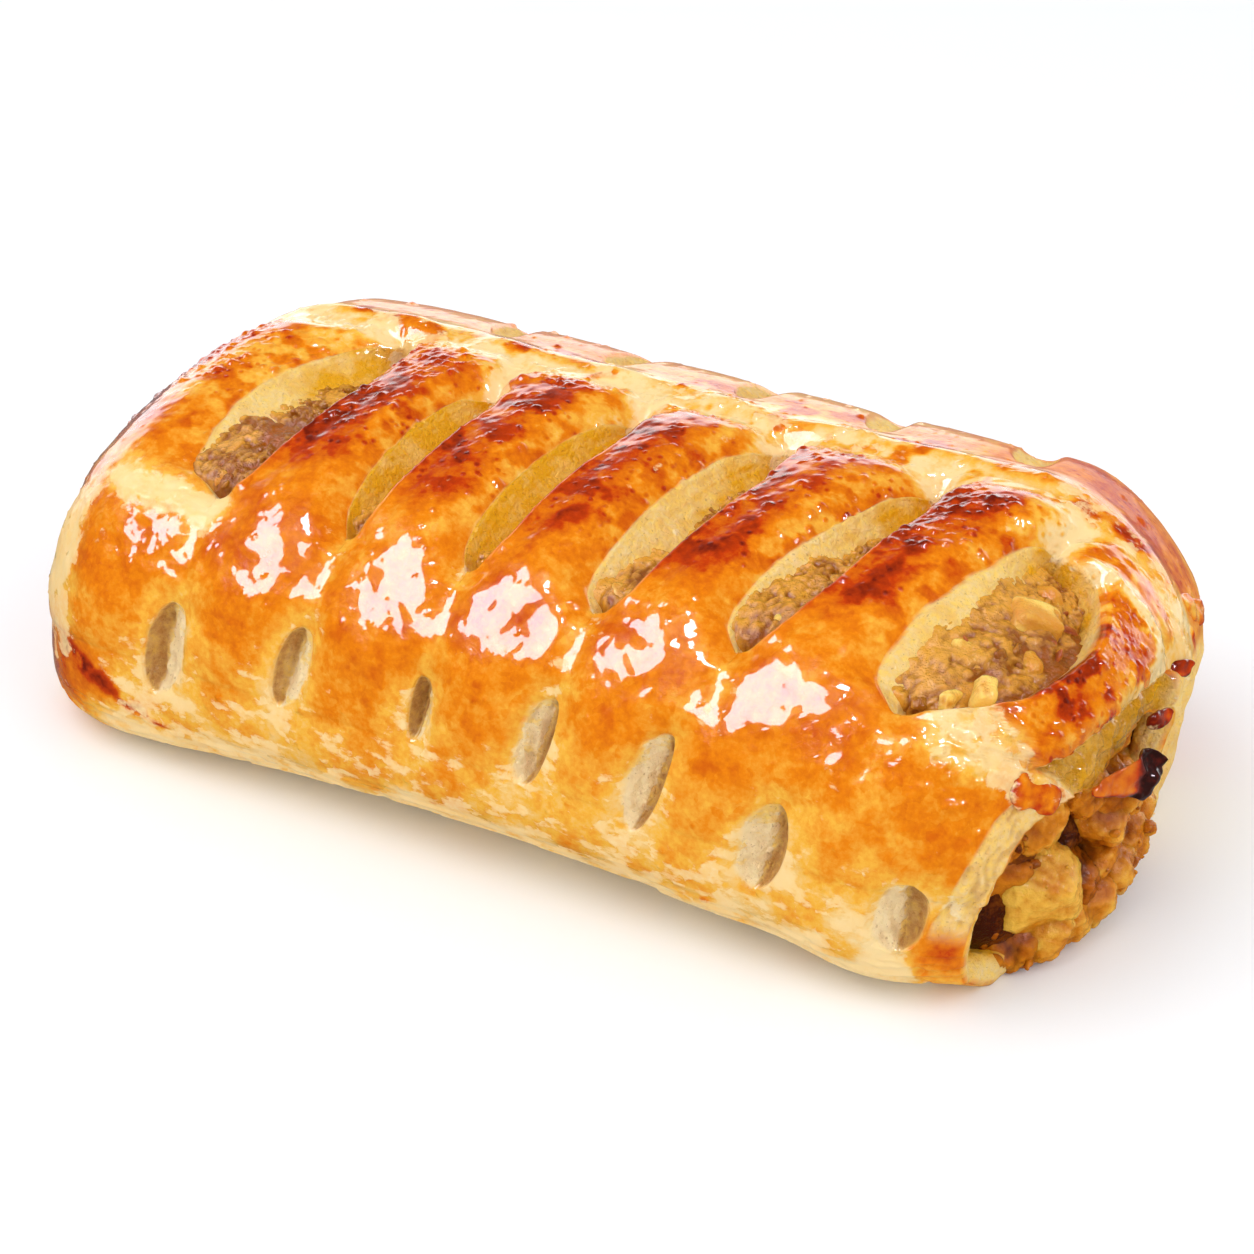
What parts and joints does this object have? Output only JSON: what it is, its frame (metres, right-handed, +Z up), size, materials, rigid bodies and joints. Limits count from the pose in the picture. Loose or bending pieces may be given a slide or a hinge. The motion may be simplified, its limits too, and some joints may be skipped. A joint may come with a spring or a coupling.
{
  "type": "apple strudel",
  "caption": "Glazed puff pastry strudel, slit along its crown and sides, with diced apple filling spilling from its open end.",
  "frame": {"origin": "on the resting plane, under the middle of the parcel's straight length", "axes": "+X along the parcel to its open end, -Y the front long side with the tall side slits, +Z up"},
  "size_m": [0.16, 0.0878, 0.0485],
  "materials": {
    "glazed_crust": "baked puff pastry, egg and sugar glazed",
    "apple_filling": "moist stewed apple with cinnamon and sugar",
    "scorched_pastry": "burnt sugared pastry flake"
  },
  "bodies": {
    "root": {"pastry_crust": "glazed_crust", "apple_filling": "apple_filling", "scorched_curl": "scorched_pastry"}
  },
  "joints": []
}
